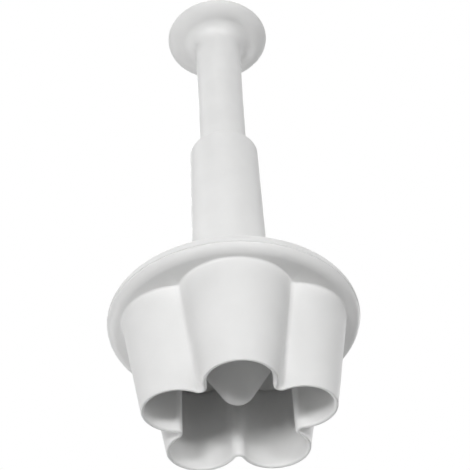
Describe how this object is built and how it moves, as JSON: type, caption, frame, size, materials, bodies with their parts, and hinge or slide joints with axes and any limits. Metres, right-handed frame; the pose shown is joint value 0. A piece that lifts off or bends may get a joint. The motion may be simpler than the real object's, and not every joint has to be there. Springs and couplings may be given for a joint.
{
  "type": "plunger cutter",
  "caption": "Round-petalled blossom plunger cutter: tapered petal skirt under a finger flange, barrel with a sprung plunger rod and thumb knob, cone-shaped ejector foot.",
  "frame": {"origin": "centre of the cutting edge, in the plane that the cutter stands on", "axes": "+Z along the plunger's axis towards the thumb knob, -Y through the middle of one petal"},
  "size_m": [0.0398, 0.0398, 0.092],
  "materials": {
    "body_plastic": "fine satin moulded plastic, white",
    "plunger_plastic": "fine satin moulded plastic, white",
    "foot_plastic": "fine satin moulded plastic, white",
    "spring_steel": "drawn stainless spring wire"
  },
  "bodies": {
    "cutter": {"cutter_body": "body_plastic", "return_spring": "spring_steel"},
    "plunger": {"plunger": "plunger_plastic", "ejector_foot": "foot_plastic"}
  },
  "joints": [
    {"name": "plunge", "type": "slide", "parent": "cutter", "child": "plunger", "axis": [0, 0, -1], "range_m": [0, 0.0142], "stiffness_N_per_m": 370, "springref_m": -0.0068, "deforming": ["return_spring"]}
  ]
}
